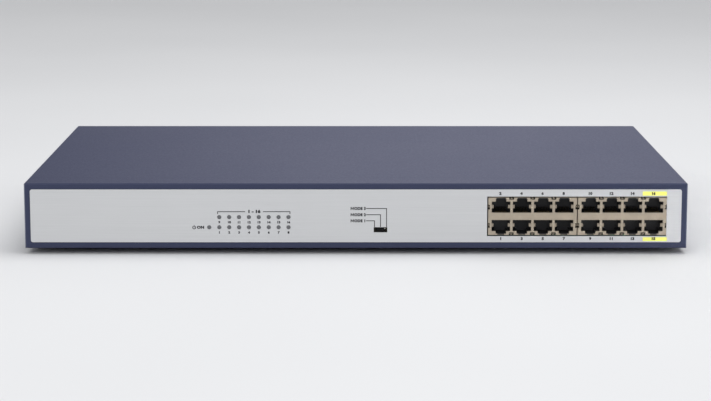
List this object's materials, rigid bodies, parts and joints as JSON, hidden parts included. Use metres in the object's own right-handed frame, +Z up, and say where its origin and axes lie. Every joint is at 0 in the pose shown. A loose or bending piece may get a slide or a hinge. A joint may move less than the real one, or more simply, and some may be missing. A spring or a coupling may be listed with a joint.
{
  "type": "desktop network switch",
  "caption": "Flat steel box with a silver front plate, stacked network jacks, link indicators and a mode slide; passes data between wired devices.",
  "frame": {"origin": "middle of the outer box, on the plane that the feet rest on", "axes": "+X to the right seen from the front, +Y to the back, +Z up"},
  "size_m": [0.44, 0.289, 0.0477],
  "materials": {
    "painted_steel": "satin blue-grey powder coat",
    "silver_plate": "fine brushed silver",
    "jack_shield": "dull nickel plate",
    "black_plastic": "moulded black plastic",
    "gilt_contacts": "thin gold flash",
    "plain_steel": "zinc plate",
    "dark_screws": "blackened steel",
    "black_rubber": "matt rubber",
    "tinned_blades": "bright nickel plate",
    "brass_earth": "plain brass",
    "green_board": "solder resist",
    "switch_frame": "tinned steel",
    "brown_laminate": "pressed laminate",
    "black_knob": "moulded black plastic",
    "grey_lens": "smoked lens",
    "chip_epoxy": "moulded epoxy",
    "bare_aluminium": "extruded",
    "capacitor_sleeve": "shrunk sleeve",
    "ferrite": "sintered ferrite",
    "white_nylon": "moulded nylon",
    "clear_film": "polyester film",
    "yellow_tape": "polyester tape",
    "copper_winding": "enamelled copper",
    "fuse_glass": "glass tube with plated caps",
    "brown_wire": "insulated wire",
    "earth_wire": "insulated wire",
    "red_wire": "insulated wire"
  },
  "bodies": {
    "chassis": {"base_tray": "painted_steel", "top_cover": "painted_steel", "front_plate": "silver_plate", "cover_screws": "dark_screws", "rubber_feet": "black_rubber", "ac_inlet": "black_plastic", "ac_inlet_pins": "tinned_blades", "ac_inlet_screws": "plain_steel", "ac_inlet_nuts": "plain_steel", "earth_screw": "brass_earth", "earth_nut": "plain_steel", "earth_lug": "brass_earth", "main_board": "green_board", "board_standoffs": "plain_steel", "board_screws": "plain_steel", "jack_shield_left": "jack_shield", "jack_housing_left": "black_plastic", "jack_contacts_left": "gilt_contacts", "jack_shield_right": "jack_shield", "jack_housing_right": "black_plastic", "jack_contacts_right": "gilt_contacts", "mode_switch_frame": "switch_frame", "mode_switch_base": "brown_laminate", "mode_switch_terminals": "gilt_contacts", "link_leds": "grey_lens", "power_led": "grey_lens", "led_holders": "black_plastic", "switch_chip": "chip_epoxy", "chip_heatsink": "bare_aluminium", "line_transformers": "chip_epoxy", "crystal": "plain_steel", "board_capacitors": "capacitor_sleeve", "power_inductor": "ferrite", "regulator": "chip_epoxy", "dc_board_header": "white_nylon", "psu_board": "green_board", "psu_standoffs": "plain_steel", "psu_screws": "plain_steel", "psu_insulator": "clear_film", "psu_transformer_core": "ferrite", "psu_transformer_bobbin": "yellow_tape", "psu_bulk_capacitor": "capacitor_sleeve", "psu_heatsink": "bare_aluminium", "psu_transistor": "chip_epoxy", "psu_line_choke": "copper_winding", "psu_film_capacitor": "yellow_tape", "psu_output_capacitors": "capacitor_sleeve", "psu_fuse": "fuse_glass", "psu_fuse_clips": "plain_steel", "psu_ac_header": "white_nylon", "psu_dc_header": "white_nylon", "mains_leads": "brown_wire", "earth_lead": "earth_wire", "dc_leads": "red_wire"},
    "mode_slider": {"mode_switch_slider": "black_knob", "mode_switch_wiper": "gilt_contacts"}
  },
  "joints": [
    {"name": "mode_slide", "type": "slide", "parent": "chassis", "child": "mode_slider", "axis": [1, 0, 0], "range_m": [-0.002, 0.002]}
  ]
}
